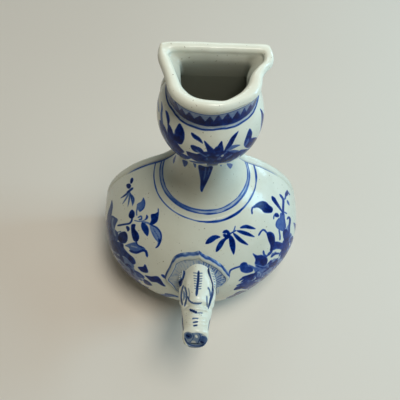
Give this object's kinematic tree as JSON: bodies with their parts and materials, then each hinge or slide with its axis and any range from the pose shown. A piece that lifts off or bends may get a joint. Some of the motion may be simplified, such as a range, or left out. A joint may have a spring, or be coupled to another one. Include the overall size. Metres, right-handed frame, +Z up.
{
  "type": "kendi",
  "caption": "Squat flat-backed pouring vessel with a bulb on a drawn-in neck, a D-shaped mouth and a tapering animal-head spout on a pointed collar.",
  "frame": {"origin": "on the axis of the round parts, in the plane that the pot stands on", "axes": "+Z up through the bulb, -Y towards the spout, +Y out of the flat back, +X to the right of someone who faces the spout's side of the pot"},
  "size_m": [0.116, 0.1008, 0.1594],
  "materials": {
    "glazed_body": "glossy clear glaze, faintly greenish, over cobalt blue painting",
    "bare_foot": "bare fired clay, matt, buff where the glaze stops"
  },
  "bodies": {
    "root": {"foot_ring": "bare_foot", "lower_body": "glazed_body", "upper_body": "glazed_body", "neck": "glazed_body", "bulb": "glazed_body", "mouth_rim": "glazed_body", "back_slab": "glazed_body", "spout_collar": "glazed_body", "head_left": "glazed_body", "head_right": "glazed_body", "ear_left": "glazed_body", "ear_right": "glazed_body"}
  },
  "joints": []
}
